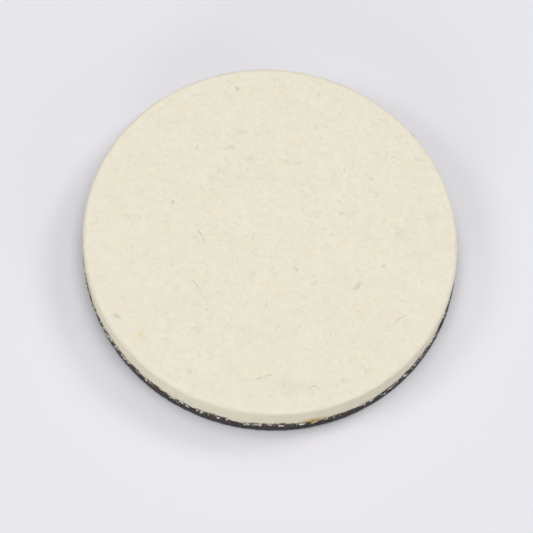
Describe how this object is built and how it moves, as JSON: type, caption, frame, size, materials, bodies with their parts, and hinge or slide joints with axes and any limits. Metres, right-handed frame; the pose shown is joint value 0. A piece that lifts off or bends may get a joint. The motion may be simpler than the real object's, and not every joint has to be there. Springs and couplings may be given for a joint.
{
  "type": "felt polishing pad",
  "caption": "Round pressed wool felt polishing pad with a rounded working edge, bonded to a dark hook-and-loop backing.",
  "frame": {"origin": "centre of the felt disc's circle, on the plane that the loop side rests on", "axes": "+Z out of the felt's working face, along the axis that the pad spins about; +X towards the side where the backing stands out a little from under the felt"},
  "size_m": [0.1256, 0.1252, 0.016],
  "materials": {
    "wool_felt": "pressed undyed wool felt, matt, with a short nap",
    "contact_adhesive": "dried contact adhesive, amber to white, satin",
    "backing_knit": "knitted nylon ground cloth, brown-black, with a frayed cut edge",
    "loop_pile": "brushed nylon loop pile, dark grey"
  },
  "bodies": {
    "root": {"felt_disc": "wool_felt", "adhesive_film": "contact_adhesive", "backing_cloth": "backing_knit", "loop_pile": "loop_pile"}
  },
  "joints": []
}
